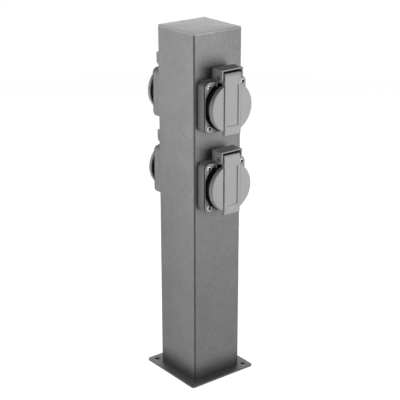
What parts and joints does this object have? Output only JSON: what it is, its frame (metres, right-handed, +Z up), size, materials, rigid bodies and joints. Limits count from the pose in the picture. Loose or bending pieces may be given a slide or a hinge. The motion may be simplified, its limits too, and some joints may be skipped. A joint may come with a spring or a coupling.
{
  "type": "garden socket post",
  "caption": "Square steel garden post on a bolted base plate, with splash-proof earthed sockets on its front and rear faces, each under a sprung round lid.",
  "frame": {"origin": "centre of the base plate's underside", "axes": "+Z up along the post; the front sockets face -Y and the rear sockets face +Y; +X to the right seen from the front"},
  "size_m": [0.083, 0.108, 0.379],
  "materials": {
    "coated_steel": "fine-textured matt powder coat in anthracite grey",
    "grey_plastic": "moulded grey plastic, finely grained",
    "black_plastic": "moulded black plastic, matt",
    "black_rubber": "soft black sealing rubber",
    "zinc_screw": "bright plated steel",
    "spring_steel": "drawn spring wire",
    "nickel_clip": "nickel-plated brass strip",
    "brass_contact": "bright brass",
    "zinc_sheet": "zinc-plated sheet",
    "ivory_plastic": "moulded ivory plastic",
    "brown_insulation": "brown wire insulation",
    "blue_insulation": "blue wire insulation",
    "green_insulation": "green and yellow wire insulation"
  },
  "bodies": {
    "post": {"post_tube": "coated_steel", "top_cap": "coated_steel", "base_plate": "coated_steel", "terminal_shelf": "zinc_sheet", "terminal_block": "ivory_plastic", "block_screws": "brass_contact", "earth_stud": "zinc_sheet", "bonding_wire": "green_insulation", "wires_live": "brown_insulation", "wires_neutral": "blue_insulation", "wires_earth": "green_insulation", "upper_front_gasket": "black_rubber", "upper_front_frame": "grey_plastic", "upper_front_frame_screws": "zinc_screw", "upper_front_insert": "black_plastic", "upper_front_back_cover": "black_plastic", "upper_front_contacts": "brass_contact", "upper_front_earth_clip": "nickel_clip", "upper_front_terminal_screws": "zinc_screw", "upper_front_hinge_pin": "zinc_screw", "lower_front_gasket": "black_rubber", "lower_front_frame": "grey_plastic", "lower_front_frame_screws": "zinc_screw", "lower_front_insert": "black_plastic", "lower_front_back_cover": "black_plastic", "lower_front_contacts": "brass_contact", "lower_front_earth_clip": "nickel_clip", "lower_front_terminal_screws": "zinc_screw", "lower_front_hinge_pin": "zinc_screw", "upper_rear_gasket": "black_rubber", "upper_rear_frame": "grey_plastic", "upper_rear_frame_screws": "zinc_screw", "upper_rear_insert": "black_plastic", "upper_rear_back_cover": "black_plastic", "upper_rear_contacts": "brass_contact", "upper_rear_earth_clip": "nickel_clip", "upper_rear_terminal_screws": "zinc_screw", "upper_rear_hinge_pin": "zinc_screw", "lower_rear_gasket": "black_rubber", "lower_rear_frame": "grey_plastic", "lower_rear_frame_screws": "zinc_screw", "lower_rear_insert": "black_plastic", "lower_rear_back_cover": "black_plastic", "lower_rear_contacts": "brass_contact", "lower_rear_earth_clip": "nickel_clip", "lower_rear_terminal_screws": "zinc_screw", "lower_rear_hinge_pin": "zinc_screw"},
    "upper_front_lid": {"upper_front_lid": "grey_plastic", "upper_front_lid_seal": "black_rubber", "upper_front_lid_spring": "spring_steel"},
    "lower_front_lid": {"lower_front_lid": "grey_plastic", "lower_front_lid_seal": "black_rubber", "lower_front_lid_spring": "spring_steel"},
    "upper_rear_lid": {"upper_rear_lid": "grey_plastic", "upper_rear_lid_seal": "black_rubber", "upper_rear_lid_spring": "spring_steel"},
    "lower_rear_lid": {"lower_rear_lid": "grey_plastic", "lower_rear_lid_seal": "black_rubber", "lower_rear_lid_spring": "spring_steel"}
  },
  "joints": [
    {"name": "upper_front_lid_hinge", "type": "hinge", "parent": "post", "child": "upper_front_lid", "pos_m": [0, -0.0473, 0.3363], "axis": [-1, 0, 0], "range_deg": [0, 90], "stiffness_Nm_per_rad": 0.02, "springref_deg": -28.65, "deforming": ["upper_front_lid_spring"]},
    {"name": "lower_front_lid_hinge", "type": "hinge", "parent": "post", "child": "lower_front_lid", "pos_m": [0, -0.0473, 0.2525], "axis": [-1, 0, 0], "range_deg": [0, 90], "stiffness_Nm_per_rad": 0.02, "springref_deg": -28.65, "deforming": ["lower_front_lid_spring"]},
    {"name": "upper_rear_lid_hinge", "type": "hinge", "parent": "post", "child": "upper_rear_lid", "pos_m": [-0.0022, 0.0473, 0.3363], "axis": [1, 0, 0], "range_deg": [0, 90], "stiffness_Nm_per_rad": 0.02, "springref_deg": -28.65, "deforming": ["upper_rear_lid_spring"]},
    {"name": "lower_rear_lid_hinge", "type": "hinge", "parent": "post", "child": "lower_rear_lid", "pos_m": [-0.0022, 0.0473, 0.2525], "axis": [1, 0, 0], "range_deg": [0, 90], "stiffness_Nm_per_rad": 0.02, "springref_deg": -28.65, "deforming": ["lower_rear_lid_spring"]}
  ]
}
